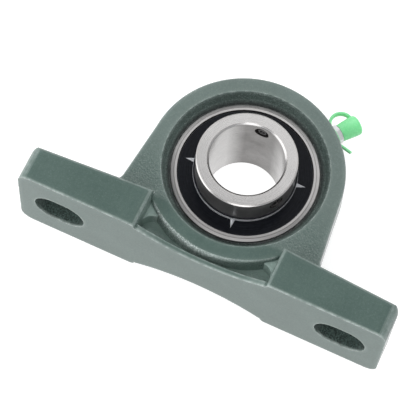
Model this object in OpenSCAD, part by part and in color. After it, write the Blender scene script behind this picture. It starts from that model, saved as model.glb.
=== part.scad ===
// Pillow block with a self-aligning ball bearing insert, in millimetres.
// Z is up, the shaft bore runs along Y, and the set-screw end of the bore faces -Y.
// The origin is the middle of the mounting face under the base.

/* [Bearing insert] */
// Diameter of the shaft bore
bore_d = 30; // [26:0.5:31]
// Diameter of the spherical outside of the outer ring
insert_d = 62; // [61.4:0.1:63]
// Width of the outer ring
outer_ring_w = 19; // [18.6:0.1:19.6]
// Full width of the inner ring
inner_ring_w = 38.1; // [36:0.1:42]
// Distance from the ball plane to the rear end of the inner ring
inner_ring_rear = 15.9; // [13:0.1:18]
// Outside diameter of the inner ring
inner_ring_d = 40.3; // [39.6:0.1:40.8]
// Diameter of the balls
ball_d = 9.525; // [9.2:0.025:9.6]
// Diameter of the circle through the ball centres
pitch_d = 46; // [45.8:0.05:46.2]
// Radial running clearance between ball and race
race_clearance = 0.03; // [0.01:0.01:0.08]
// Radial clearance between the insert and its seat in the housing
seat_clearance = 0.03; // [0.01:0.01:0.08]

/* [Cage and seals] */
// Sheet thickness of the cage halves
cage_t = 0.7; // [0.5:0.05:0.9]
// Radial width of the cage ribbon
cage_w = 3.4; // [2.8:0.1:3.8]
// Clearance between ball and cage pocket
pocket_clearance = 0.09; // [0.04:0.01:0.15]
// Radius of the cage rivets
rivet_r = 0.7; // [0.5:0.05:0.9]
// Sheet thickness of the seal cores
seal_core_t = 0.6; // [0.4:0.05:0.7]
// Thickness of the rubber bonded behind each core
seal_rubber_t = 0.7; // [0.5:0.05:0.8]
// Sheet thickness of the slingers
slinger_t = 0.8; // [0.6:0.05:0.9]
// Length of the slinger collar along the inner ring
slinger_collar = 1.5; // [1:0.1:2]
// Height of the stiffening gussets at the slinger collar
gusset_h = 1.2; // [0.8:0.1:1.4]
// Clearance between the turning and the standing seal parts
seal_clearance = 0.05; // [0.03:0.01:0.1]

/* [Set screws and pin] */
// Thread diameter of the set screws
screw_d = 6; // [5:0.5:6.5]
// Thread pitch of the set screws
screw_pitch = 1; // [0.8:0.1:1.25]
// Distance of the set screws from the front end of the inner ring
screw_inset = 5; // [4.6:0.1:5.6]
// Width across flats of the hexagon socket
socket_af = 3; // [2.5:0.1:3.2]
// Clearance between screw crest and hole
screw_clearance = 0.05; // [0.02:0.01:0.1]
// Diameter of the locating pin in the outer ring
pin_d = 3; // [2.4:0.1:3.4]

/* [Housing casting] */
// Height of the bore axis above the mounting face
shaft_height = 44.1; // [43.4:0.1:46]
// Length of the base over both feet
base_length = 156.6; // [152:0.2:168]
// Width of the feet along the bore
foot_width = 40.2; // [38:0.2:46]
// Distance between the inner ends of the feet
foot_gap = 55.6; // [53:0.2:57]
// Height of the foot at its inner end
foot_rise = 17.7; // [17:0.1:18.2]
// Height of the foot at its outer end
foot_tip = 14.6; // [13.8:0.1:15.2]
// Corner radius of the foot ends seen from above
foot_corner_r = 5; // [3:0.5:7]
// Radius of the inner upright edges of the feet
foot_inner_r = 2.2; // [1.2:0.1:2.6]
// Radius of the long upper edges of the feet
foot_edge_r = 2; // [1:0.25:3]
// Radius of the upper end edge of the feet
foot_end_r = 3.5; // [2:0.5:5]
// Radius of the round boss at its faces
boss_r = 39.7; // [39:0.1:40.4]
// Width of the boss along the bore
boss_w = 27.6; // [26:0.2:29]
// Casting draft of the boss from face to parting plane
boss_draft = 0.4; // [0.2:0.1:0.8]
// Edge radius of the boss and the upright
boss_edge_r = 1; // [0.8:0.1:1.6]
// Radius of the root fillet between the upright sides and the feet
root_r = 6; // [4:0.5:6.5]
// Radius of the root fillet between the upright faces and the feet
face_root_r = 2; // [1:0.5:4]
// Radius of the fillet between the underside of the boss and the feet
boss_root_r = 5; // [3:0.5:6]
// Half depth of the waist at the middle of the base
waist_half = 12; // [11:0.1:13]
// Radius of the hollow curve of the waist seen from above
waist_r = 65; // [60:1:75]
// Half depth of the base plate beside the feet
plate_half = 17.9; // [17:0.1:18.6]
// Thickness of the base plate between the feet
plate_t = 2.2; // [1.6:0.1:3]
// Half thickness of the web under the boss
web_half = 5; // [4:0.25:7]
// Radius of the fillet between the web and the base plate
web_root_r = 7; // [4:0.5:7]
// Radius of the front and rear recess at the boss face
recess_r = 33.6; // [33.2:0.1:34.6]

/* [Mounting slots] */
// Distance of the slot centres from the ends of the base
slot_edge = 17.6; // [15.6:0.2:18.4]
// Width of the slots
slot_w = 17; // [14:0.5:18]
// Length of the slots over their round ends
slot_l = 21.5; // [19:0.5:24]

/* [Grease nipple] */
// Angle of the nipple above +X, seen from the front
nipple_angle = 54; // [46:1:60]
// Thread diameter of the nipple
nipple_d = 6; // [5.5:0.1:6.4]
// Distance from the bore axis to the face of the nipple boss
nipple_seat = 41.2; // [41:0.1:42]
// Width across flats of the nipple hexagon
hex_af = 7; // [6.6:0.1:7.6]
// Height of the nipple hexagon
hex_h = 2.2; // [2:0.1:3]
// Radius of the nipple head
head_r = 2.6; // [2.3:0.05:2.8]
// Outside radius of the cap at its mouth
cap_mouth_r = 3.6; // [3.4:0.05:3.8]
// Outside radius of the cap at its far end
cap_far_r = 4.2; // [4:0.05:4.5]
// Length of the cap
cap_l = 8.7; // [8.4:0.1:9.4]
// Thickness of the strap and its ring
strap_t = 1.2; // [1:0.05:1.4]
// Width of the strap along the bore
strap_w = 2.4; // [2:0.1:3.2]
// Thickness of the pull tail
tail_t = 0.8; // [0.6:0.05:1]
// Width of the pull tail along the bore
tail_w = 1.6; // [1.2:0.1:2.4]

/* [Hidden] */
$fn = 96;

// Overlap that keeps joined shapes in one solid, and reach of cutting tools past a face
sink = 0.4;
past = 1;

// Insert bearing
bore_r = bore_d / 2;
insert_r = insert_d / 2;
seat_r = insert_r + seat_clearance;
inner_r = inner_ring_d / 2;
outer_half = outer_ring_w / 2;
inner_front = inner_ring_rear - inner_ring_w;
ball_r = ball_d / 2;
pitch_r = pitch_d / 2;
ball_count = 9;
ball_step = 360 / ball_count;
first_ball = 90;
groove_r = ball_d * 0.52;
groove_out = pitch_r + ball_r + race_clearance - groove_r;
groove_in = pitch_r - ball_r - race_clearance + groove_r;
shoulder_r = pitch_r + 2.8;
bore_bevel = 0.75;
rim_bevel = 0.5;
face_split = 1.15;
face_fall = 0.3;

// Cage
cage_in = pitch_r - cage_w / 2;
cage_out = pitch_r + cage_w / 2;
pocket_r = ball_r + pocket_clearance;
rivet_head_r = rivet_r + 0.4;
rivet_head_t = 0.4;

// Seals and slingers, as distances from the ball plane
seal_bore_r = shoulder_r + 1.5;
seal_in = outer_half - 3.3;
core_in = seal_in + seal_rubber_t;
core_out = core_in + seal_core_t;
core_r = seal_bore_r - 0.5;
lip_r = inner_r + 1;
slinger_out = outer_half - 0.6;
slinger_in = slinger_out - slinger_t;
slinger_r = seal_bore_r - 0.4;
collar_r = inner_r + 0.8;
gusset_tip_r = inner_r + 4.5;
gusset_angles = [10.6, 100.6, 190.6, 280.6];

// Set screws and locating pin
screw_r = screw_d / 2 - screw_clearance;
screw_root_r = screw_r - 0.5 * screw_pitch;
screw_y = inner_front + screw_inset;
screw_low = bore_r + 0.25;
screw_high = inner_r - 0.35;
screw_angles = [90, -30];
socket_r = socket_af / sqrt(3);
socket_depth = 2.2;
cup_r = 1.2;
pin_r = pin_d / 2;
pin_clearance = 0.02;
pin_low = insert_r - 2;
pin_high = insert_r + 1.8;
pin_angle = 90;
pin_slot_half = pin_r + 0.1;
pin_slot_front = pin_r + 1.5;

// Grease way
grease_y = 5.5;
grease_groove_half = 0.8;
grease_groove_depth = 0.7;
grease_hole_r = 0.8;
grease_way_r = 1.5;

// Housing
boss_half = boss_w / 2;
boss_mid_r = boss_r + boss_draft;
base_half = base_length / 2;
foot_half = foot_width / 2;
foot_in = foot_gap / 2;
slot_pitch = base_length - 2 * slot_edge;
foot_fall = (foot_rise - foot_tip) / (base_half - foot_in);
foot_slope = atan(foot_fall);
rim_step = 0.1;
upright_lean = 6.5;
lean_x = boss_r * cos(upright_lean);
lean_z = shaft_height + boss_r * sin(upright_lean);
upright_x = lean_x + tan(upright_lean) * (lean_z - foot_rise);
upright_w = upright_x - foot_in;
upright_l = (lean_z - foot_tip / 2) / cos(upright_lean);
rim_w = boss_r - seat_r - past;
flare_depth = 3;
web_high = foot_rise - sink;
seat_half = 8.6;
recess_floor_r = sqrt(seat_r * seat_r - seat_half * seat_half) + 0.6;
recess_wall_r = recess_r - 1.8;
recess_step = 1.2;
recess_bevel = 0.5;
load_slot_x = seat_r + 0.3;
load_slot_half = outer_half + 0.3;
nipple_boss_r = 5;
nipple_boss_root_r = 5.6;
nipple_boss_low = 34;

// Grease nipple, as distances from the bore axis
nipple_hole_r = nipple_d / 2;
nipple_shank_r = nipple_hole_r - 0.05;
shank_low = insert_r + 5;
ring_high = nipple_seat + strap_t;
ring_r = 4.6;
hex_r = hex_af / sqrt(3);
hex_high = ring_high + hex_h;
neck_r = 2;
head_low = hex_high + 1.8;
head_mid = head_low + 1.6;
head_high = head_mid + 2.6;
tip_r = 1.7;
way_r = 1.15;
mouth_r = 0.7;
valve_r = 0.95;
valve_seat = head_high - 0.9;
valve_z = valve_seat - sqrt(valve_r * valve_r - mouth_r * mouth_r);
spring_r = 0.7;
spring_wire_r = 0.16;
spring_turns = 6;
spring_low = shank_low + 1;
spring_reach = valve_r + spring_wire_r;
spring_high = valve_z - sqrt(spring_reach * spring_reach - spring_r * spring_r);
spring_lift = (spring_high - spring_low - spring_wire_r) / (2 * spring_turns);
cap_low = hex_high + 0.2;
cap_high = cap_low + cap_l;
cap_bore_r = head_r + 0.15;
cap_roof = 1.2;
cap_edge_r = 1.3;
loop_low = ring_high + strap_t / 2 - 0.2;
loop_high = cap_high - 1.5;
loop_mid = (loop_high + loop_low) / 2;
loop_r = (loop_high - loop_low) / 2;
loop_x = -cap_far_r + 0.9;
strap_clearance = 0.02;
tail_in = ring_r - 0.5;
tail_out = 9.6;
tail_lift = 2.3;

// Carries a shape drawn as (radius, distance along the bore) round the bore axis
module about_bore() {
    translate([0, 0, shaft_height])
        rotate([-90, 0, 0])
            rotate_extrude()
                children();
}

// Turns a shape so that its Z points away from the bore axis at an angle above +X
module radial(angle) {
    translate([0, 0, shaft_height])
        rotate([0, 90 - angle, 0])
            children();
}

// Rectangle in the (radius, distance along the bore) plane
module band(r_in, r_out, y_low, y_high) {
    translate([r_in, y_low])
        square([r_out - r_in, y_high - y_low]);
}

// Boss section with casting draft and rounded edges
module boss_section() {
    polygon([
        [0, -boss_half],
        [boss_r - boss_edge_r, -boss_half],
        [boss_r, -boss_half + boss_edge_r],
        [boss_mid_r, 0],
        [boss_r, boss_half - boss_edge_r],
        [boss_r - boss_edge_r, boss_half],
        [0, boss_half]
    ]);
    for (side = [-1, 1])
        translate([boss_r - boss_edge_r, side * (boss_half - boss_edge_r)])
            circle(r = boss_edge_r);
}

// Foot seen from above
module foot_plan() {
    translate([foot_in + foot_inner_r, -foot_half])
        square([base_half - foot_corner_r - foot_in - foot_inner_r, foot_width]);
    translate([foot_in, -foot_half + foot_inner_r])
        square([2 * foot_inner_r, foot_width - 2 * foot_inner_r]);
    translate([base_half - 2 * foot_corner_r, -foot_half + foot_corner_r])
        square([2 * foot_corner_r, foot_width - 2 * foot_corner_r]);
    for (side = [-1, 1]) {
        translate([foot_in + foot_inner_r, side * (foot_half - foot_inner_r)])
            circle(r = foot_inner_r);
        translate([base_half - foot_corner_r, side * (foot_half - foot_corner_r)])
            circle(r = foot_corner_r);
    }
}

// Foot seen from the front, with the sloping top and the rounded end
module foot_elevation() {
    end_x = base_half - foot_end_r;
    end_z = foot_tip + foot_fall * foot_end_r - foot_end_r / cos(foot_slope);
    start_x = foot_in - past;
    polygon([
        [start_x, 0],
        [base_half, 0],
        [base_half, end_z],
        [end_x + foot_end_r * sin(foot_slope), end_z + foot_end_r * cos(foot_slope)],
        [start_x, foot_rise + foot_fall * past]
    ]);
    translate([end_x, end_z])
        circle(r = foot_end_r);
}

// Foot section with rounded upper edges, measured down from the top
module foot_section() {
    translate([-foot_half, -2 * foot_rise])
        square([foot_width, 2 * foot_rise - foot_edge_r]);
    translate([-foot_half + foot_edge_r, -foot_rise])
        square([foot_width - 2 * foot_edge_r, foot_rise]);
    for (side = [-1, 1])
        translate([side * (foot_half - foot_edge_r), -foot_edge_r])
            circle(r = foot_edge_r);
}

module foot() {
    intersection() {
        linear_extrude(height = foot_rise + past)
            foot_plan();
        translate([0, foot_half + past, 0])
            rotate([90, 0, 0])
                linear_extrude(height = foot_width + 2 * past)
                    foot_elevation();
        translate([foot_in, 0, foot_rise])
            rotate([0, foot_slope, 0])
                translate([-2 * past, 0, 0])
                    rotate([90, 0, 90])
                        linear_extrude(height = base_half)
                            foot_section();
    }
}

// Section of the outer part of the upright, with the same rounded edges as the boss
module upright_section() {
    translate([-rim_w, -boss_half])
        square([rim_w - boss_edge_r, boss_w]);
    translate([-rim_w, -boss_half + boss_edge_r])
        square([rim_w, boss_w - 2 * boss_edge_r]);
    for (side = [-1, 1])
        translate([-boss_edge_r, side * (boss_half - boss_edge_r)])
            circle(r = boss_edge_r);
}

// One leaning side of the upright, running on from the rim of the boss and filled in under the seat
module upright_side() {
    translate([lean_x, 0, lean_z])
        rotate([0, -upright_lean, 0])
            translate([-rim_step, 0, -upright_l]) {
                linear_extrude(height = upright_l)
                    upright_section();
                translate([-upright_w, -boss_half, 0])
                    cube([upright_w - rim_w / 2, boss_w, upright_l - seat_r * 2 / 3]);
            }
}

// Concave corner section of a root fillet
module root_section(radius) {
    difference() {
        translate([-sink, -sink])
            square(radius + sink);
        translate([radius, radius])
            circle(r = radius);
    }
}

// Section through the flare, from its hollow face into the upright, with rounded edges
module flare_section() {
    translate([root_r + boss_edge_r, -boss_half])
        square([flare_depth - boss_edge_r, boss_w]);
    translate([root_r, -boss_half + boss_edge_r])
        square([flare_depth, boss_w - 2 * boss_edge_r]);
    for (side = [-1, 1])
        translate([root_r + boss_edge_r, side * (boss_half - boss_edge_r)])
            circle(r = boss_edge_r);
}

// Flare where the side of the upright runs out on the top of the foot
module upright_root() {
    out = boss_r + root_r - 2 * rim_step;
    up = root_r - rim_step + foot_in * sin(foot_slope) + (foot_rise - shaft_height) * cos(foot_slope);
    spread = upright_lean + foot_slope;
    centre_x = (out * cos(foot_slope) - up * sin(upright_lean)) / cos(spread);
    centre_z = (up * cos(upright_lean) - out * sin(foot_slope)) / cos(spread);
    translate([centre_x, 0, shaft_height + centre_z])
        rotate([90, 0, 0])
            rotate([0, 0, 180 + upright_lean])
                rotate_extrude(angle = 90 - spread)
                    flare_section();
}

// Fillets between the front and rear of the upright and the top of the foot
module face_root() {
    intersection() {
        linear_extrude(height = shaft_height)
            foot_plan();
        translate([foot_in, 0, foot_rise])
            rotate([0, foot_slope, 0])
                for (side = [0, 1])
                    mirror([0, side, 0])
                        translate([0, boss_half, 0])
                            rotate([90, 0, 90])
                                linear_extrude(height = upright_w)
                                    root_section(face_root_r);
    }
}

// Fillet between the underside of the boss and the inner end of a foot
module boss_root() {
    depth = boss_half - 2 * boss_edge_r;
    centre_x = foot_in - boss_root_r + rim_step;
    reach = boss_r + boss_root_r - rim_step;
    centre_z = shaft_height - sqrt(reach * reach - centre_x * centre_x);
    translate([centre_x, depth, centre_z])
        rotate([90, 0, 0])
            linear_extrude(height = 2 * depth)
                difference() {
                    square([boss_root_r + sink, web_high - centre_z]);
                    circle(r = boss_root_r);
                }
}

// Section across the base plate and the web that carries the boss
module skirt_section() {
    translate([-plate_half, 0])
        square([2 * plate_half, plate_t]);
    translate([-web_half, 0])
        square([2 * web_half, web_high]);
    for (side = [0, 1])
        mirror([side, 0])
            translate([web_half, plate_t])
                root_section(web_root_r);
}

// Waisted middle of the base with a pocket on each side of the web
module skirt() {
    reach = foot_in + foot_inner_r;
    intersection() {
        linear_extrude(height = foot_rise)
            difference() {
                translate([-reach, -foot_half])
                    square([2 * reach, foot_width]);
                for (side = [-1, 1])
                    translate([0, side * (waist_half + waist_r)])
                        circle(r = waist_r);
            }
        translate([-reach, 0, 0])
            rotate([90, 0, 90])
                linear_extrude(height = 2 * reach)
                    skirt_section();
    }
}

// Recess beside the spherical seat, cut from one face of the boss
module recess_section() {
    polygon([
        [0, seat_half],
        [recess_floor_r, seat_half],
        [recess_wall_r, seat_half + recess_step],
        [recess_r - recess_bevel, boss_half - recess_bevel],
        [recess_r, boss_half],
        [recess_r, boss_half + past],
        [0, boss_half + past]
    ]);
}

module mounting_slot() {
    run = (slot_l - slot_w) / 2;
    translate([0, 0, -past]) {
        for (side = [-1, 1])
            translate([side * run, 0, 0])
                cylinder(r = slot_w / 2, h = foot_rise + 2 * past);
        translate([-run, -slot_w / 2, 0])
            cube([2 * run, slot_w, foot_rise + 2 * past]);
    }
}

module housing() {
    color([0.33, 0.42, 0.38])
        difference() {
            union() {
                about_bore()
                    boss_section();
                skirt();
                for (side = [0, 1])
                    mirror([side, 0, 0]) {
                        foot();
                        upright_side();
                        upright_root();
                        face_root();
                        boss_root();
                    }
                radial(nipple_angle)
                    translate([0, 0, nipple_boss_low])
                        cylinder(
                            r1 = nipple_boss_root_r,
                            r2 = nipple_boss_r,
                            h = nipple_seat - nipple_boss_low
                        );
            }
            about_bore()
                intersection() {
                    circle(r = seat_r);
                    band(0, seat_r, -seat_r, seat_r);
                }
            about_bore()
                recess_section();
            about_bore()
                mirror([0, 1])
                    recess_section();
            translate([-load_slot_x, 0, shaft_height - load_slot_half])
                cube([2 * load_slot_x, boss_half + past, 2 * load_slot_half]);
            translate([-pin_slot_half, -pin_slot_front, shaft_height + pin_low])
                cube([2 * pin_slot_half, pin_slot_front + seat_half + past, pin_high - pin_low + sink]);
            radial(nipple_angle) {
                translate([0, 0, shank_low - past])
                    cylinder(r = nipple_hole_r, h = nipple_seat - shank_low + 2 * past);
                translate([0, 0, pin_low])
                    cylinder(r = grease_way_r, h = shank_low - pin_low);
                translate([-grease_way_r, -grease_way_r, pin_low])
                    cube([2 * grease_way_r, grease_y + 2 * grease_way_r, pin_high - pin_low]);
            }
            for (side = [-1, 1])
                translate([side * slot_pitch / 2, 0, 0])
                    mounting_slot();
        }
}

module outer_ring() {
    face_r = sqrt(insert_r * insert_r - outer_half * outer_half);
    color([0.78, 0.77, 0.75])
        difference() {
            about_bore()
                difference() {
                    intersection() {
                        circle(r = insert_r);
                        band(0, insert_r, -outer_half, outer_half);
                    }
                    band(0, shoulder_r, -outer_half - past, outer_half + past);
                    translate([groove_out, 0])
                        circle(r = groove_r);
                    for (side = [0, 1])
                        mirror([0, side]) {
                            band(0, seal_bore_r, seal_in, outer_half + past);
                            polygon([
                                [face_r - face_split, outer_half],
                                [face_r + past, outer_half - face_fall - past * face_fall / face_split],
                                [face_r + past, outer_half + past],
                                [face_r - face_split, outer_half + past]
                            ]);
                        }
                    band(
                        insert_r - 2 * grease_groove_depth,
                        insert_r,
                        grease_y - grease_groove_half,
                        grease_y + grease_groove_half
                    );
                }
            radial(pin_angle)
                translate([0, 0, pin_low])
                    cylinder(r = pin_r + pin_clearance, h = insert_r - pin_low + past);
            for (turn = [0, 180])
                radial(nipple_angle + turn)
                    translate([0, grease_y, shoulder_r - past])
                        cylinder(r = grease_hole_r, h = insert_r - shoulder_r + past);
        }
}

module locating_pin() {
    color([0.55, 0.55, 0.56])
        radial(pin_angle)
            translate([0, 0, pin_low])
                rotate_extrude()
                    polygon([
                        [0, 0],
                        [pin_r, 0],
                        [pin_r, pin_high - pin_low - pin_r / 3],
                        [pin_r * 2 / 3, pin_high - pin_low],
                        [0, pin_high - pin_low]
                    ]);
}

module inner_ring() {
    color([0.8, 0.78, 0.76])
        difference() {
            about_bore()
                difference() {
                    polygon([
                        [bore_r + bore_bevel, inner_front],
                        [inner_r - rim_bevel, inner_front],
                        [inner_r, inner_front + rim_bevel],
                        [inner_r, inner_ring_rear - rim_bevel],
                        [inner_r - rim_bevel, inner_ring_rear],
                        [bore_r + bore_bevel, inner_ring_rear],
                        [bore_r, inner_ring_rear - bore_bevel],
                        [bore_r, inner_front + bore_bevel]
                    ]);
                    translate([groove_in, 0])
                        circle(r = groove_r);
                }
            for (angle = screw_angles)
                radial(angle)
                    translate([0, screw_y, bore_r - 2 * past])
                        cylinder(r = screw_d / 2, h = inner_r - bore_r + 4 * past);
        }
}

module ball(index) {
    color([0.86, 0.86, 0.87])
        radial(first_ball + (index - 1) * ball_step)
            translate([0, 0, pitch_r])
                sphere(r = ball_r);
}

// Ribbon half on one side of the ball plane, with a domed pocket over each ball
module cage_half(side) {
    color([0.72, 0.69, 0.62])
        difference() {
            intersection() {
                union() {
                    about_bore()
                        mirror([0, (1 - side) / 2])
                            band(cage_in, cage_out, 0, cage_t);
                    for (index = [1:ball_count])
                        radial(first_ball + (index - 1) * ball_step)
                            translate([0, 0, pitch_r])
                                rotate([-90, 0, 0])
                                    sphere(r = pocket_r + cage_t);
                }
                about_bore()
                    mirror([0, (1 - side) / 2])
                        band(cage_in, cage_out, 0, pocket_r + 2 * cage_t);
            }
            for (index = [1:ball_count])
                radial(first_ball + (index - 1) * ball_step)
                    translate([0, 0, pitch_r])
                        rotate([-90, 0, 0])
                            sphere(r = pocket_r);
            for (index = [1:ball_count])
                radial(first_ball + (index - 0.5) * ball_step)
                    translate([0, -2 * cage_t, pitch_r])
                        rotate([-90, 0, 0])
                            cylinder(r = rivet_r, h = 4 * cage_t);
        }
}

module cage_front() {
    cage_half(-1);
}

module cage_rear() {
    cage_half(1);
}

module cage_rivets() {
    reach = cage_t + rivet_head_t;
    color([0.6, 0.58, 0.53])
        for (index = [1:ball_count])
            radial(first_ball + (index - 0.5) * ball_step)
                translate([0, 0, pitch_r])
                    rotate([-90, 0, 0])
                        rotate_extrude()
                            polygon([
                                [0, -reach],
                                [rivet_head_r, -reach],
                                [rivet_head_r, -cage_t],
                                [rivet_r, -cage_t],
                                [rivet_r, cage_t],
                                [rivet_head_r, cage_t],
                                [rivet_head_r, reach],
                                [0, reach]
                            ]);
}

// Rubber ring with a rim round the core and a sealing lip at the inner ring
module seal_rubber(side) {
    color([0.12, 0.12, 0.13])
        about_bore()
            mirror([0, (1 - side) / 2]) {
                band(inner_r + seal_clearance, seal_bore_r, seal_in, core_in);
                band(core_r, seal_bore_r, seal_in, core_out);
                band(inner_r + seal_clearance, lip_r, seal_in, core_out);
            }
}

module seal_core(side) {
    color([0.5, 0.51, 0.52])
        about_bore()
            mirror([0, (1 - side) / 2])
                band(lip_r, core_r, core_in, core_out);
}

module front_seal_rubber() {
    seal_rubber(-1);
}

module front_seal_core() {
    seal_core(-1);
}

module rear_seal_rubber() {
    seal_rubber(1);
}

module rear_seal_core() {
    seal_core(1);
}

// Pressed disc on the inner ring with a collar and tapering ridge gussets
module slinger(side) {
    ridge_l = gusset_tip_r - inner_r;
    ridge_tilt = atan(gusset_h / ridge_l);
    ridge_r = gusset_h;
    color([0.09, 0.1, 0.13])
        difference() {
            union() {
                about_bore()
                    mirror([0, (1 - side) / 2]) {
                        band(inner_r, slinger_r, slinger_in, slinger_out);
                        band(inner_r, collar_r, slinger_in, slinger_out + slinger_collar);
                    }
                intersection() {
                    for (angle = gusset_angles)
                        radial(angle)
                            translate([0, side * (slinger_out + gusset_h - ridge_r), inner_r])
                                rotate([side * ridge_tilt, 0, 0])
                                    cylinder(r = ridge_r, h = ridge_l + slinger_t, $fn = 4);
                    about_bore()
                        mirror([0, (1 - side) / 2])
                            band(inner_r, slinger_r, slinger_in, slinger_out + slinger_collar);
                }
            }
            about_bore()
                band(0, inner_r, -outer_half - 2 * slinger_collar, outer_half + 2 * slinger_collar);
        }
}

module front_slinger() {
    slinger(-1);
}

module rear_slinger() {
    slinger(1);
}

// Socket set screw with a cup point, carried by thread crests
module set_screw(angle) {
    length = screw_high - screw_low;
    turns = floor((length - screw_pitch) / screw_pitch);
    start = (length - turns * screw_pitch) / 2;
    color([0.08, 0.08, 0.09])
        radial(angle)
            translate([0, screw_y, screw_low])
                difference() {
                    rotate_extrude() {
                        polygon([
                            [0, 0],
                            [cup_r + 0.5, 0],
                            [screw_root_r, start],
                            [screw_root_r, length],
                            [0, length]
                        ]);
                        for (turn = [0:turns - 1])
                            translate([0, start + turn * screw_pitch])
                                polygon([
                                    [0, 0],
                                    [screw_root_r, 0],
                                    [screw_r, screw_pitch * 0.42],
                                    [screw_r, screw_pitch * 0.58],
                                    [screw_root_r, screw_pitch],
                                    [0, screw_pitch]
                                ]);
                    }
                    translate([0, 0, length - socket_depth])
                        cylinder(r = socket_r, h = socket_depth + past, $fn = 6);
                    translate([0, 0, -past])
                        cylinder(r1 = cup_r + past, r2 = 0, h = cup_r + past);
                }
}

module set_screw_1() {
    set_screw(screw_angles[0]);
}

module set_screw_2() {
    set_screw(screw_angles[1]);
}

// Nipple with shank, hexagon, snap head and a drilled grease way
module nipple_body() {
    color([0.8, 0.78, 0.8])
        radial(nipple_angle)
            difference() {
                union() {
                    rotate_extrude()
                        polygon([
                            [0, shank_low],
                            [nipple_shank_r - 0.6, shank_low],
                            [nipple_shank_r, shank_low + 0.6],
                            [nipple_shank_r, ring_high + sink],
                            [neck_r, ring_high + sink],
                            [neck_r, head_low],
                            [head_r, head_mid],
                            [head_r, head_mid + 0.6],
                            [tip_r, head_high],
                            [0, head_high]
                        ]);
                    intersection() {
                        translate([0, 0, ring_high])
                            rotate([0, 0, 30])
                                cylinder(r = hex_r, h = hex_h, $fn = 6);
                        translate([0, 0, ring_high])
                            cylinder(r1 = hex_r + hex_h, r2 = hex_r - 0.4, h = hex_h);
                    }
                }
                translate([0, 0, spring_low])
                    cylinder(r = way_r, h = valve_seat - spring_low);
                translate([0, 0, shank_low - past])
                    cylinder(r = mouth_r, h = head_high - shank_low + 2 * past);
            }
}

// Closed coil made of half turns, each tilted by half the pitch
module nipple_spring() {
    tilt = atan(spring_lift / (2 * spring_r));
    color([0.6, 0.6, 0.62])
        radial(nipple_angle)
            for (half = [0:2 * spring_turns - 1])
                translate([0, 0, spring_low + spring_wire_r + (half + 0.5) * spring_lift])
                    rotate([0, 0, 180 * half])
                        rotate([0, tilt, 0])
                            rotate_extrude(angle = 180)
                                translate([spring_r, 0])
                                    circle(r = spring_wire_r);
}

module nipple_ball() {
    color([0.85, 0.85, 0.86])
        radial(nipple_angle)
            translate([0, 0, valve_z])
                sphere(r = valve_r);
}

module nipple_cap() {
    color([0.25, 0.85, 0.35])
        radial(nipple_angle)
            rotate_extrude()
                difference() {
                    union() {
                        polygon([
                            [0, cap_low],
                            [cap_mouth_r, cap_low],
                            [cap_far_r, cap_high - 2 * cap_edge_r],
                            [cap_far_r, cap_high - cap_edge_r],
                            [cap_far_r - cap_edge_r, cap_high],
                            [0, cap_high]
                        ]);
                        translate([cap_far_r - cap_edge_r, cap_high - cap_edge_r])
                            circle(r = cap_edge_r);
                    }
                    band(0, cap_bore_r, cap_low - past, cap_high - cap_roof);
                }
}

// Half loop of strap whose ends follow the side of the cap and the top of the ring
module cap_strap() {
    color([0.25, 0.85, 0.35])
        radial(nipple_angle)
            difference() {
                translate([loop_x, strap_w / 2, loop_mid])
                    rotate([90, 0, 0])
                        linear_extrude(height = strap_w)
                            difference() {
                                circle(r = loop_r + strap_t / 2);
                                circle(r = loop_r - strap_t / 2);
                                translate([0, -2 * loop_r])
                                    square(4 * loop_r);
                            }
                translate([0, 0, ring_high])
                    cylinder(r = cap_far_r + strap_clearance, h = cap_high - ring_high);
                translate([0, 0, nipple_seat])
                    cylinder(r = ring_r + strap_t, h = strap_t);
            }
}

// Ring held under the hexagon, with the pull tail on the side away from the strap
module strap_ring() {
    color([0.25, 0.85, 0.35])
        radial(nipple_angle)
            difference() {
                union() {
                    translate([0, 0, nipple_seat])
                        cylinder(r = ring_r, h = strap_t);
                    translate([0, tail_w / 2, nipple_seat])
                        rotate([90, 0, 0])
                            linear_extrude(height = tail_w)
                                polygon([
                                    [tail_in, strap_t - tail_t],
                                    [tail_out, strap_t - tail_t + tail_lift],
                                    [tail_out, strap_t + tail_lift],
                                    [tail_in, strap_t]
                                ]);
                }
                translate([0, 0, nipple_seat - past])
                    cylinder(r = nipple_hole_r, h = strap_t + 2 * past);
            }
}

housing();
outer_ring();
inner_ring();
locating_pin();
ball(1);  // ball_1
ball(2);  // ball_2
ball(3);  // ball_3
ball(4);  // ball_4
ball(5);  // ball_5
ball(6);  // ball_6
ball(7);  // ball_7
ball(8);  // ball_8
ball(9);  // ball_9
cage_front();
cage_rear();
cage_rivets();
front_seal_rubber();
front_seal_core();
rear_seal_rubber();
rear_seal_core();
front_slinger();
rear_slinger();
set_screw_1();
set_screw_2();
nipple_body();
nipple_spring();
nipple_ball();
nipple_cap();
cap_strap();
strap_ring();
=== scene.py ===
import math

import bmesh
import bpy
from mathutils import Matrix, Vector


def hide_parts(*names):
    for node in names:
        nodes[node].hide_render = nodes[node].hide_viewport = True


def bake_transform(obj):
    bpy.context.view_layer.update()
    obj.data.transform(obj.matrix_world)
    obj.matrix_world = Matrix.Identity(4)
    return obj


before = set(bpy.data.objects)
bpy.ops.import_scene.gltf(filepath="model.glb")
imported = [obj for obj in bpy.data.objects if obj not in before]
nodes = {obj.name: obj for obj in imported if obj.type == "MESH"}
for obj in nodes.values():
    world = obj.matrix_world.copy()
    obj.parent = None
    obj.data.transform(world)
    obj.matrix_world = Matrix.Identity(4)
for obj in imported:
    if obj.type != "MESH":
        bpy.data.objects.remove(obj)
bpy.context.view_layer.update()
print("frame loaded:", len(nodes), "nodes")

axisHeight = 0.0441          # bore axis above the mounting face
nippleTilt = math.radians(54)


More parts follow.
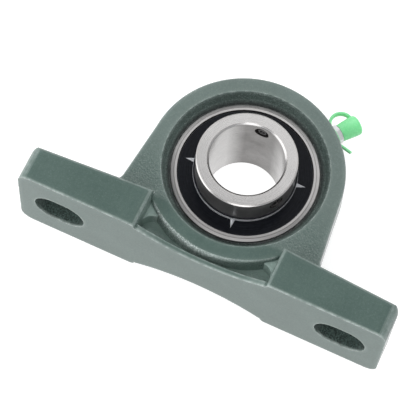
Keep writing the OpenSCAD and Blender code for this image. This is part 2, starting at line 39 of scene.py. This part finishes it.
# small helper for building node materials
class Shade:
    def __init__(self, name):
        self.mat = bpy.data.materials.new(name)
        self.mat.use_nodes = True
        self.tree = self.mat.node_tree
        self.tree.nodes.clear()
        self.out = self.add("ShaderNodeOutputMaterial")
        self.place = self.add("ShaderNodeTexCoord").outputs["Object"]

    def add(self, kind, **props):
        node = self.tree.nodes.new(kind)
        for key, value in props.items():
            setattr(node, key, value)
        return node

    def put(self, socket, value):
        if isinstance(value, bpy.types.NodeSocket):
            self.tree.links.new(value, socket)
        else:
            socket.default_value = value

    def math(self, op, a, b=0.0, clamp=False):
        node = self.add("ShaderNodeMath", operation=op, use_clamp=clamp)
        self.put(node.inputs[0], a)
        self.put(node.inputs[1], b)
        return node.outputs[0]

    def times(self, *values):
        total = values[0]
        for value in values[1:]:
            total = self.math("MULTIPLY", total, value)
        return total

    def span(self, value, low, high, toLow=0.0, toHigh=1.0):
        node = self.add("ShaderNodeMapRange", clamp=True)
        keys = ("Value", "From Min", "From Max", "To Min", "To Max")
        for key, item in zip(keys, (value, low, high, toLow, toHigh)):
            self.put(node.inputs[key], item)
        return node.outputs[0]

    def mix(self, amount, a, b, mode="MIX"):
        node = self.add("ShaderNodeMix", data_type="RGBA", blend_type=mode)
        self.put(node.inputs[0], amount)
        self.put(node.inputs[6], a)
        self.put(node.inputs[7], b)
        return node.outputs[2]

    def noise(self, scale, detail=3.0, rough=0.55, where=None):
        node = self.add("ShaderNodeTexNoise")
        self.put(node.inputs["Vector"], where or self.place)
        self.put(node.inputs["Scale"], scale)
        self.put(node.inputs["Detail"], detail)
        self.put(node.inputs["Roughness"], rough)
        return node.outputs["Fac"]

    def cells(self, scale, where=None):
        node = self.add("ShaderNodeTexVoronoi", feature="F1")
        self.put(node.inputs["Vector"], where or self.place)
        self.put(node.inputs["Scale"], scale)
        return node.outputs["Distance"]

    def xyz(self):
        node = self.add("ShaderNodeSeparateXYZ")
        self.put(node.inputs[0], self.place)
        return node.outputs[0], node.outputs[1], node.outputs[2]

    def polar(self):
        x, y, z = self.xyz()
        up = self.math("SUBTRACT", z, axisHeight)
        length = self.add("ShaderNodeVectorMath", operation="LENGTH")
        self.put(length.inputs[0], self.vector(x, 0.0, up))
        return length.outputs["Value"], self.math("ARCTAN2", up, x), y

    def vector(self, x, y, z):
        node = self.add("ShaderNodeCombineXYZ")
        for socket, value in zip(node.inputs, (x, y, z)):
            self.put(socket, value)
        return node.outputs[0]

    def edges(self, radius, low=0.004, high=0.1):
        # rounded normal against true normal shows where the edges are
        bevel = self.add("ShaderNodeBevel", samples=6)
        bevel.inputs["Radius"].default_value = radius
        geo = self.add("ShaderNodeNewGeometry")
        dot = self.add("ShaderNodeVectorMath", operation="DOT_PRODUCT")
        self.put(dot.inputs[0], bevel.outputs[0])
        self.put(dot.inputs[1], geo.outputs["Normal"])
        return self.span(self.math("SUBTRACT", 1.0, dot.outputs["Value"]), low, high)

    def facing(self, index):
        # how far the true normal points along one axis
        node = self.add("ShaderNodeSeparateXYZ")
        self.put(node.inputs[0], self.add("ShaderNodeNewGeometry").outputs["True Normal"])
        return node.outputs[index]

    def hollows(self, reach):
        node = self.add("ShaderNodeAmbientOcclusion", samples=6)
        node.inputs["Distance"].default_value = reach
        return node.outputs["AO"]

    def bump(self, height, distance, strength=1.0, under=None):
        node = self.add("ShaderNodeBump")
        self.put(node.inputs["Height"], height)
        node.inputs["Distance"].default_value = distance
        self.put(node.inputs["Strength"], strength)
        if under is not None:
            self.put(node.inputs["Normal"], under)
        return node.outputs[0]

    def finish(self, **sockets):
        shader = self.add("ShaderNodeBsdfPrincipled")
        for key, value in sockets.items():
            self.put(shader.inputs[key.replace("_", " ")], value)
        self.tree.links.new(shader.outputs[0], self.out.inputs["Surface"])
        return self.mat


def dress(material, *names):
    for name in names:
        mesh = nodes[name].data
        mesh.materials.clear()
        mesh.materials.append(material)


# painted sand casting: semi-gloss outside, gritty and darkened with painted shade in the recess and the
# slots
paint = {
    "dark": (0.078, 0.122, 0.107, 1), "light": (0.102, 0.152, 0.135, 1), "wearAndHighlight": (0.58, 0.66, 0.63, 1),
    "gritAndShade": (0.022, 0.032, 0.029, 1), "shadowGap": (0.005, 0.007, 0.007, 1), "speck": (0.30, 0.38, 0.35, 1),
    "dustAndLight": (0.56, 0.62, 0.60, 1), "pocket": (0.36, 0.47, 0.43, 1),
    "recessR": 0.0336, "gapR": (0.0320, 0.0304), "footIn": 0.0278, "footTop": 0.0177, "bossR": 0.0397,
    "plateTop": 0.0022, "slotX": 0.0607, "slotRun": 0.00225, "slotR": 0.0085,
    "rough": (0.15, 0.24), "rawRough": 0.42, "shine": 0.60, "baseShine": 0.34, "dullShine": 0.12,
    "crescentZ": (0.0215, 0.0165), "crescentX": (0.016, -0.004), "pocketZ": (0.0180, 0.0165),
    "bareZ": (0.040, 0.022), "bareShare": 0.45, "pocketLightShare": 0.85, "slotGrit": 0.90, "recessGrit": 0.40,
    "gapShare": 0.95, "speckShare": (0.12, 0.55), "edgeR": 0.0009, "edgeShare": 0.80,
    "roundHighlightShare": 0.16, "roundChips": 0.22, "softHighlightR": 0.0034, "softHighlightShare": 0.09, "rubShare": (0.25, 0.60),
    "waveBump": 0.16, "peelBump": 0.30, "lumpBump": 0.85, "sandyBump": 0.6,
}


def castPaint():
    s = Shade("castPaint")
    x, y, z = s.xyz()
    radius, _, _ = s.polar()
    side = s.math("ABSOLUTE", x)
    lean = s.math("ABSOLUTE", s.facing(1))
    down = s.facing(2)

    # gritty places, also darkened with painted shade: the recess and the slot walls
    recess = s.span(radius, paint["recessR"] + 0.0001, paint["recessR"] - 0.0003)
    above = s.span(z, 0.0002, 0.0006)
    along = s.math("ABSOLUTE", s.math("SUBTRACT", side, paint["slotX"]))
    along = s.math("MAXIMUM", s.math("SUBTRACT", along, paint["slotRun"]), 0.0)
    far = s.math("SQRT", s.math("ADD", s.times(along, along), s.times(y, y)))
    slotWall = s.times(s.span(far, paint["slotR"] + 0.0003, paint["slotR"] + 0.0001), above)
    raw = s.math("MAXIMUM", recess, slotWall)

    # the underside of the boss has a rough pale crescent: dust speckle plus painted light, strongest towards
    # -x where the key light falls
    between = s.span(side, paint["footIn"] - 0.0002, paint["footIn"] - 0.0030)
    under = s.times(s.span(down, -0.12, -0.30), s.span(z, *paint["crescentZ"]), above, between,
                    s.span(radius, paint["bossR"] + 0.0028, paint["bossR"] + 0.0012),
                    s.span(x, *paint["crescentX"], 0.25, 1.0))
    # the pocket below it is painted paler: painted light that lifts its shade
    pocket = s.times(s.span(side, paint["footIn"] + 0.0002, paint["footIn"] - 0.0004),
                     s.span(z, paint["plateTop"] - 0.0002, paint["plateTop"] + 0.0006),
                     s.span(z, *paint["pocketZ"]), s.span(radius, paint["bossR"], paint["bossR"] + 0.0006))

    # the feet and the low part of the front are dull, the rest is semi-gloss
    dull = s.times(s.span(lean, 0.6, 0.8), s.span(z, paint["footTop"] + 0.0012, paint["footTop"] - 0.0008))
    base = s.times(s.span(down, -0.8, -0.95), s.span(z, 0.0010, 0.0005))

    grain = s.noise(1500, 4, 0.7)
    fine = s.noise(1900, 2, 0.6)
    sand = s.cells(1150)
    cloud = s.noise(60, 4, 0.6)
    peel = s.noise(900, 2, 0.5)
    wave = s.noise(170, 3, 0.5)

    colour = s.mix(s.span(s.math("ADD", s.times(cloud, 0.6), s.times(peel, 0.4)), 0.35, 0.65),
                   paint["dark"], paint["light"])
    # painted light: the pocket is mixed towards a pale green
    colour = s.mix(s.times(pocket, paint["pocketLightShare"]), colour, paint["pocket"])
    # painted shade: the recess and slot walls are mixed towards a near-black grit colour
    heavy = s.math("MAXIMUM", s.times(slotWall, paint["slotGrit"]), s.times(recess, paint["recessGrit"]))
    colour = s.mix(s.times(heavy, s.span(grain, 0.62, 0.42)), colour, paint["gritAndShade"])
    # the sand shows most in the recess, in the pocket and on the low part of the uprights
    smooth = s.math("MAXIMUM", s.math("MAXIMUM", dull, base), slotWall)
    bare = s.times(s.span(z, *paint["bareZ"]), s.span(smooth, 1, 0), paint["bareShare"])
    sandy = s.math("MAXIMUM", s.math("MAXIMUM", recess, pocket), bare)
    specks = s.times(s.span(fine, 0.54, 0.68), s.span(sandy, 0, 1, *paint["speckShare"]))
    colour = s.mix(specks, colour, paint["speck"])
    # painted shadow: a near-black ring deep in the recess, round the outer ring
    shadowGap = s.times(recess, s.span(radius, *paint["gapR"], 0.0, paint["gapShare"]))
    colour = s.mix(shadowGap, colour, paint["shadowGap"])
    # pale dust speckle and painted light on the boss underside
    colour = s.mix(s.times(under, s.span(fine, 0.42, 0.58, 0.1, 0.9)), colour, paint["dustAndLight"])

    # wear: sharp edges, and the rounded front edges of boss and feet, which also get an even painted
    # highlight
    clear = s.span(s.hollows(0.0022), 0.72, 0.95)
    chips = s.span(s.noise(420, 5, 0.7), 0.42, 0.64, 0.06, 0.85)
    turned = s.times(s.span(lean, 0.97, 0.90), s.span(lean, 0.35, 0.55), s.span(raw, 1, 0))
    colour = s.mix(s.times(turned, clear, paint["roundHighlightShare"]), colour, paint["wearAndHighlight"])
    # a soft painted highlight towards the edges, and the paint rubbed along the front of the base
    softHighlight = s.times(s.edges(paint["softHighlightR"], 0.0, 0.12), clear, paint["softHighlightShare"])
    colour = s.mix(softHighlight, colour, paint["wearAndHighlight"])
    rubbed = s.times(s.span(z, 0.0011, 0.0004), s.span(lean, 0.6, 0.8))
    colour = s.mix(s.times(rubbed, s.span(chips, 0, 1, *paint["rubShare"])), colour, paint["wearAndHighlight"])
    sharp = s.times(s.edges(paint["edgeR"], 0.004, 0.08), paint["edgeShare"])
    wear = s.math("MAXIMUM", sharp, s.times(turned, paint["roundChips"]))
    colour = s.mix(s.times(wear, clear, chips), colour, paint["wearAndHighlight"])

    gloss = s.span(s.noise(240, 3, 0.6), 0.3, 0.7, *paint["rough"])
    matt = s.math("MAXIMUM", s.math("MAXIMUM", raw, pocket), s.math("MAXIMUM", under, dull))
    gloss = s.math("ADD", gloss, s.times(matt, paint["rawRough"]))
    normal = s.bump(wave, 0.00025, paint["waveBump"])
    normal = s.bump(peel, 0.00006, paint["peelBump"], normal)
    lumps = s.math("SUBTRACT", grain, s.times(sand, 0.7))
    lumpy = s.math("MAXIMUM", s.math("MAXIMUM", raw, under), s.times(sandy, paint["sandyBump"]))
    normal = s.bump(lumps, 0.0006, s.times(lumpy, paint["lumpBump"]), normal)
    shine = s.span(base, 0, 1, paint["shine"], paint["baseShine"])
    return s.finish(Base_Color=colour, Roughness=gloss, Normal=normal,
                    Specular_IOR_Level=s.span(dull, 0, 1, shine, paint["dullShine"]))


# ground bearing steel with fine turning lines
innerLook = {
    "tone": (0.52, 0.51, 0.505, 1), "bright": (0.66, 0.65, 0.645, 1), "pit": (0.38, 0.37, 0.365, 1),
    "rim": (0.30, 0.24, 0.19, 1), "rough": (0.17, 0.30), "boreR": 0.0152, "paintedShade": (0.16, 0.155, 0.15, 1),
    "sideR": 0.0200, "sideRough": 0.10, "faceDim": 0.30, "grooveR": 0.0,
}
outerLook = dict(innerLook, rim=(0.50, 0.49, 0.48, 1), sideRough=0.0, faceDim=0.34, grooveR=0.02836,
                 rough=(0.28, 0.40))


def groundSteel(name, look):
    s = Shade(name)
    radius, turn, y = s.polar()
    face = s.span(s.math("ABSOLUTE", s.facing(1)), 0.5, 0.8)
    outside = s.times(s.span(radius, look["sideR"], look["sideR"] + 0.0001), s.span(face, 1, 0))
    lines = s.noise(1.0, 2, 0.6, s.vector(s.times(radius, 7000), s.times(y, 5200), s.times(turn, 1.6)))
    speck = s.noise(2600, 3, 0.7)
    smear = s.noise(90, 4, 0.6)
    colour = s.mix(s.span(lines, 0.3, 0.7), look["tone"], look["bright"])
    colour = s.mix(s.span(speck, 0.45, 0.75, 0, 0.25), colour, look["pit"])
    colour = s.mix(s.times(face, look["faceDim"]), colour, (0, 0, 0, 1))
    rim = s.times(s.edges(0.00035, 0.01, 0.12), s.span(s.noise(500, 3), 0.3, 0.6, 0.25, 0.7))
    colour = s.mix(rim, colour, look["rim"])
    if look["grooveR"]:
        # painted shade: a fine dark line between the flat and the sloped part of the face
        off = s.math("ABSOLUTE", s.math("SUBTRACT", radius, look["grooveR"]))
        colour = s.mix(s.span(off, 0.00026, 0.00012, 0.0, 0.75), colour, look["paintedShade"])
    # dark band along the top of the bore: a painted reflection of shade
    shadeBand = s.times(s.span(turn, 0.7, 1.2), s.span(turn, 2.5, 2.0),
                   s.span(radius, look["boreR"], look["boreR"] - 0.0001))
    colour = s.mix(s.times(shadeBand, s.span(smear, 0.3, 0.7, 0.7, 0.95)), colour, look["paintedShade"])
    gloss = s.math("ADD", s.span(lines, 0.25, 0.75, *look["rough"]), s.span(smear, 0.35, 0.75, 0.0, 0.08))
    gloss = s.math("ADD", gloss, s.times(outside, look["sideRough"]))
    normal = s.bump(lines, 0.00002, 0.35)
    normal = s.bump(speck, 0.00002, 0.3, normal)
    return s.finish(Base_Color=colour, Metallic=1.0, Roughness=gloss, Normal=normal)


# pressed sheet, black oxide, zinc and polished balls share one recipe
bluedLook = {"tone": (0.004, 0.005, 0.007, 1), "other": (0.009, 0.010, 0.014, 1), "rough": 0.26,
             "grain": 700, "metal": 0.0, "shine": 0.08, "edge": (0.30, 0.31, 0.33, 1), "edgeShare": 0.35,
             "ribHighlight": (0.66, 0.67, 0.70, 1), "ribR": 0.0208, "ribFrom": 0.00897}
# the black oxide edge colour is a painted highlight round the screw sockets
oxideLook = {"tone": (0.008, 0.008, 0.009, 1), "other": (0.022, 0.021, 0.022, 1), "rough": 0.38,
             "grain": 1600, "metal": 0.3, "shine": 0.5, "edge": (0.42, 0.40, 0.38, 1), "edgeShare": 0.7}
zincLook = {"tone": (0.84, 0.82, 0.85, 1), "other": (0.92, 0.90, 0.93, 1), "rough": 0.36, "grain": 300,
            "metal": 0.35, "shine": 0.6, "edge": (0.94, 0.94, 0.96, 1), "edgeShare": 0.5}
ballLook = {"tone": (0.70, 0.70, 0.71, 1), "other": (0.78, 0.78, 0.79, 1), "rough": 0.10, "grain": 400,
            "metal": 1.0, "shine": 0.5, "edge": (0.80, 0.80, 0.81, 1), "edgeShare": 0.0}
sheetLook = {"tone": (0.50, 0.48, 0.43, 1), "other": (0.62, 0.59, 0.53, 1), "rough": 0.30, "grain": 800,
             "metal": 1.0, "shine": 0.5, "edge": (0.70, 0.67, 0.62, 1), "edgeShare": 0.3}
pinLook = {"tone": (0.42, 0.42, 0.43, 1), "other": (0.52, 0.52, 0.53, 1), "rough": 0.28, "grain": 1200,
           "metal": 1.0, "shine": 0.5, "edge": (0.60, 0.60, 0.61, 1), "edgeShare": 0.3}


def workedMetal(name, look):
    s = Shade(name)
    radius, turn, y = s.polar()
    rings = s.noise(1.0, 2, 0.5, s.vector(s.times(radius, 2600), s.times(y, 2600), s.times(turn, 3.0)))
    grain = s.noise(look["grain"], 4, 0.65)
    colour = s.mix(s.span(grain, 0.3, 0.7), look["tone"], look["other"])
    # lighter edges; on the black oxide screws this is a painted highlight round the socket
    colour = s.mix(s.times(s.edges(0.00025, 0.02, 0.15), look["edgeShare"]), colour, look["edge"])
    if "ribHighlight" in look:
        # painted highlight on the raised ribs
        high = s.span(s.math("ABSOLUTE", y), look["ribFrom"], look["ribFrom"] + 0.00006)
        raised = s.times(high, s.span(radius, look["ribR"], look["ribR"] + 0.0002))
        colour = s.mix(s.times(raised, s.span(grain, 0.3, 0.6, 0.7, 1.0)), colour, look["ribHighlight"])
    gloss = s.span(rings, 0.3, 0.7, look["rough"] - 0.05, look["rough"] + 0.07)
    normal = s.bump(rings, 0.000015, 0.3)
    normal = s.bump(grain, 0.00002, 0.2, normal)
    return s.finish(Base_Color=colour, Metallic=look["metal"], Roughness=gloss, Normal=normal,
                    Specular_IOR_Level=look["shine"])


# black seal rubber and the soft green plastic of the cap
sealLook = {"tone": (0.012, 0.012, 0.013, 1), "other": (0.022, 0.022, 0.023, 1), "rough": 0.55, "milky": 0.0}
greenLook = {"tone": (0.25, 0.96, 0.38, 1), "other": (0.32, 0.98, 0.46, 1), "rough": 0.24, "milky": 0.05}


def mouldedRubber(name, look):
    s = Shade(name)
    cloud = s.noise(260, 3, 0.5)
    skin = s.noise(1800, 3, 0.6)
    colour = s.mix(s.span(cloud, 0.3, 0.7), look["tone"], look["other"])
    gloss = s.span(skin, 0.3, 0.7, look["rough"] - 0.05, look["rough"] + 0.08)
    normal = s.bump(skin, 0.00003, 0.3)
    return s.finish(Base_Color=colour, Roughness=gloss, Normal=normal, Subsurface_Weight=look["milky"],
                    Subsurface_Radius=(0.5, 1.0, 0.6), Subsurface_Scale=0.0006)


greenSoft = mouldedRubber("greenSoft", greenLook)
dress(castPaint(), "housing")
dress(groundSteel("innerSteel", innerLook), "inner_ring")
dress(groundSteel("outerSteel", outerLook), "outer_ring")
dress(workedMetal("bluedSheet", bluedLook), "front_slinger", "rear_slinger")
dress(workedMetal("blackOxide", oxideLook), "set_screw_1", "set_screw_2")
dress(workedMetal("brightZinc", zincLook), "nipple_body", "nipple_spring")
dress(workedMetal("polishedBall", ballLook), "nipple_ball", *["ball_%d" % k for k in range(1, 10)])
dress(workedMetal("pressedSheet", sheetLook), "cage_front", "cage_rear", "cage_rivets",
      "front_seal_core", "rear_seal_core")
dress(workedMetal("hardPin", pinLook), "locating_pin")
dress(mouldedRubber("sealRubber", sealLook), "front_seal_rubber", "rear_seal_rubber")
dress(greenSoft, "nipple_cap", "strap_ring")
print("materials on the frame done")


# flexible strap between cap and ring
strap = {"thick": 0.0012, "wide": 0.0024, "round": 0.00045, "middle": 0.0474, "bend": 0.0046,
         "side": -0.0033, "steps": 40}


def nippleFrame():
    out = Vector((math.cos(nippleTilt), 0, math.sin(nippleTilt)))
    across = Vector((math.sin(nippleTilt), 0, -math.cos(nippleTilt)))
    turn = Matrix((across, Vector((0, 1, 0)), out)).transposed().to_4x4()
    return Matrix.Translation((0, 0, axisHeight)) @ turn


def makeStrap():
    bm = bmesh.new()
    bmesh.ops.create_grid(bm, x_segments=1, y_segments=1, size=0.5)
    bmesh.ops.scale(bm, vec=(strap["thick"], strap["wide"], 1), verts=bm.verts)
    bmesh.ops.bevel(bm, geom=bm.verts[:], offset=strap["round"], segments=3, profile=0.5, affect="VERTICES",
                    material=-1)
    # stand the section at the cap end and carry it round the loop
    bmesh.ops.rotate(bm, cent=(0, 0, 0), matrix=Matrix.Rotation(math.radians(90), 3, "Y"), verts=bm.verts)
    bmesh.ops.translate(bm, vec=(strap["side"], 0, strap["middle"] + strap["bend"]), verts=bm.verts)
    bmesh.ops.spin(bm, geom=bm.faces[:] + bm.edges[:] + bm.verts[:], axis=(0, 1, 0), angle=-math.pi,
                   cent=(strap["side"], 0, strap["middle"]), steps=strap["steps"], use_duplicate=False)
    bmesh.ops.remove_doubles(bm, verts=bm.verts, dist=1e-6)
    bmesh.ops.recalc_face_normals(bm, faces=bm.faces)
    place = nippleFrame()
    bmesh.ops.transform(bm, matrix=place, verts=bm.verts)
    mesh = bpy.data.meshes.new("capStrap")
    bm.to_mesh(mesh)
    bm.free()
    mesh.shade_smooth()
    mesh.materials.append(greenSoft)
    piece = bpy.data.objects.new("capStrap", mesh)
    bpy.context.collection.objects.link(piece)
    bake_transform(piece)
    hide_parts("cap_strap")


makeStrap()
print("strap done")


# camera, found from the ellipses and the base outline
view = {"at": (0.09472, -0.73814, -0.26228), "ahead": (-0.128737, 0.923148, 0.362249),
        "up": (-0.400271, -0.382582, 0.832715), "lens": 173.565}


def makeCamera():
    data = bpy.data.cameras.new("mainCamera")
    data.lens = view["lens"]
    data.sensor_width = 36
    data.clip_start = 0.05
    data.clip_end = 20
    camera = bpy.data.objects.new("mainCamera", data)
    ahead = Vector(view["ahead"]).normalized()
    right = ahead.cross(Vector(view["up"])).normalized()
    turn = Matrix((right, right.cross(ahead), -ahead)).transposed().to_4x4()
    camera.matrix_world = Matrix.Translation(view["at"]) @ turn
    bpy.context.collection.objects.link(camera)
    bpy.context.scene.camera = camera


makeCamera()
print("camera done")


# the block lies on its back, so the pale floor is behind it
floorSpec = {"foot": (0.0204, 0.0176), "ring": (0.0162, 0.0643), "half": 2.5, "glow": 0.78, "shade": 0.85,
             "shadeR": (0.020, 0.045), "boreR": (0.019, 0.013), "boreGlow": 0.96,
             "pale": (0.50, 0.50, 0.50, 1), "paler": (0.53, 0.53, 0.53, 1)}


def makeFloor():
    s = Shade("paleFloor")
    path = s.add("ShaderNodeLightPath").outputs
    # what shiny metal sees of the floor is shaded close under the bearing
    radius = s.polar()[0]
    under = s.span(radius, *floorSpec["shadeR"], floorSpec["shade"], 1.0)
    # and under the open bore the glow is raised: painted light that keeps the shadowed floor white there
    bright = s.span(radius, *floorSpec["boreR"], floorSpec["glow"], floorSpec["boreGlow"])
    seen = s.math("MAXIMUM", path["Is Camera Ray"], path["Is Transmission Ray"])
    seen = s.math("MAXIMUM", seen, s.times(path["Is Glossy Ray"], under))
    plain = s.add("ShaderNodeBsdfDiffuse")
    s.put(plain.inputs["Color"], s.mix(s.noise(9, 3), floorSpec["pale"], floorSpec["paler"]))
    glow = s.add("ShaderNodeEmission")
    glow.inputs["Color"].default_value = (1, 1, 1, 1)
    s.put(glow.inputs["Strength"], s.times(seen, bright))
    both = s.add("ShaderNodeAddShader")
    s.put(both.inputs[0], plain.outputs[0])
    s.put(both.inputs[1], glow.outputs[0])
    clear = s.add("ShaderNodeBsdfTransparent")
    choose = s.add("ShaderNodeMixShader")
    s.put(choose.inputs[0], s.add("ShaderNodeNewGeometry").outputs["Backfacing"])
    s.put(choose.inputs[1], both.outputs[0])
    s.put(choose.inputs[2], clear.outputs[0])
    s.put(s.out.inputs["Surface"], choose.outputs[0])

    footY, footZ = floorSpec["foot"]
    ringY, ringZ = floorSpec["ring"]
    lie = math.atan2(footY - ringY, ringZ - footZ)
    bm = bmesh.new()
    bmesh.ops.create_grid(bm, x_segments=1, y_segments=1, size=floorSpec["half"])
    turn = Matrix.Rotation(math.radians(90) + lie, 3, "X")
    bmesh.ops.rotate(bm, cent=(0, 0, 0), matrix=turn, verts=bm.verts)
    bmesh.ops.translate(bm, vec=(0, footY, footZ), verts=bm.verts)
    mesh = bpy.data.meshes.new("floor")
    bm.to_mesh(mesh)
    bm.free()
    mesh.materials.append(s.mat)
    floor = bpy.data.objects.new("floor", mesh)
    bpy.context.collection.objects.link(floor)
    floor.visible_shadow = False


makeFloor()
print("floor done")


# soft studio light: a big box over the ring, a key from the left, and fill from below, front and back
lamps = [
    {"name": "topBox", "at": (-0.11, -0.71, 0.555), "size": (1.30, 0.54), "watts": 3.7},
    {"name": "keyBox", "at": (-0.72, -0.34, -0.34), "size": (0.80, 0.80), "watts": 4.0},
    {"name": "lowBox", "at": (0.30, -0.30, -0.75), "size": (0.70, 0.40), "watts": 2.0},
    {"name": "frontBox", "at": (0.05, -0.80, -0.16), "size": (0.70, 0.45), "watts": 1.2},
    {"name": "backBox", "at": (0.25, 0.85, 0.50), "size": (0.90, 0.70), "watts": 2.6},
]
tent = {"colour": (0.97, 0.98, 1.0, 1), "rim": 0.72, "front": 0.14, "from": 0.45, "to": 0.85}


def makeLights():
    for spec in lamps:
        data = bpy.data.lights.new(spec["name"], "AREA")
        data.shape = "RECTANGLE"
        data.size, data.size_y = spec["size"]
        data.energy = spec["watts"]
        lamp = bpy.data.objects.new(spec["name"], data)
        lamp.location = spec["at"]
        aim = Vector((0, 0, 0.04)) - Vector(spec["at"])
        lamp.rotation_euler = aim.to_track_quat("-Z", "Y").to_euler()
        bpy.context.collection.objects.link(lamp)


def makeWorld():
    # a pale tent, darker towards the open front
    world = bpy.data.worlds.new("studio")
    world.use_nodes = True
    tree = world.node_tree
    tree.nodes.clear()

    def add(kind):
        return tree.nodes.new(kind)

    out = add("ShaderNodeOutputWorld")
    path = add("ShaderNodeLightPath")
    split = add("ShaderNodeSeparateXYZ")
    tree.links.new(add("ShaderNodeTexCoord").outputs["Generated"], split.inputs[0])
    front = add("ShaderNodeMapRange")
    front.interpolation_type = "SMOOTHSTEP"
    tree.links.new(split.outputs[1], front.inputs["Value"])
    values = {"From Min": -tent["from"], "From Max": -tent["to"],
              "To Min": tent["rim"], "To Max": tent["front"]}
    for key, value in values.items():
        front.inputs[key].default_value = value
    white = add("ShaderNodeBackground")
    white.inputs["Color"].default_value = (1, 1, 1, 1)
    white.inputs["Strength"].default_value = 1.0
    soft = add("ShaderNodeBackground")
    soft.inputs["Color"].default_value = tent["colour"]
    tree.links.new(front.outputs[0], soft.inputs["Strength"])
    choose = add("ShaderNodeMixShader")
    tree.links.new(path.outputs["Is Camera Ray"], choose.inputs[0])
    tree.links.new(soft.outputs[0], choose.inputs[1])
    tree.links.new(white.outputs[0], choose.inputs[2])
    tree.links.new(choose.outputs[0], out.inputs["Surface"])
    bpy.context.scene.world = world


makeLights()
makeWorld()
bpy.context.scene.view_settings.view_transform = "Standard"
print("light done")
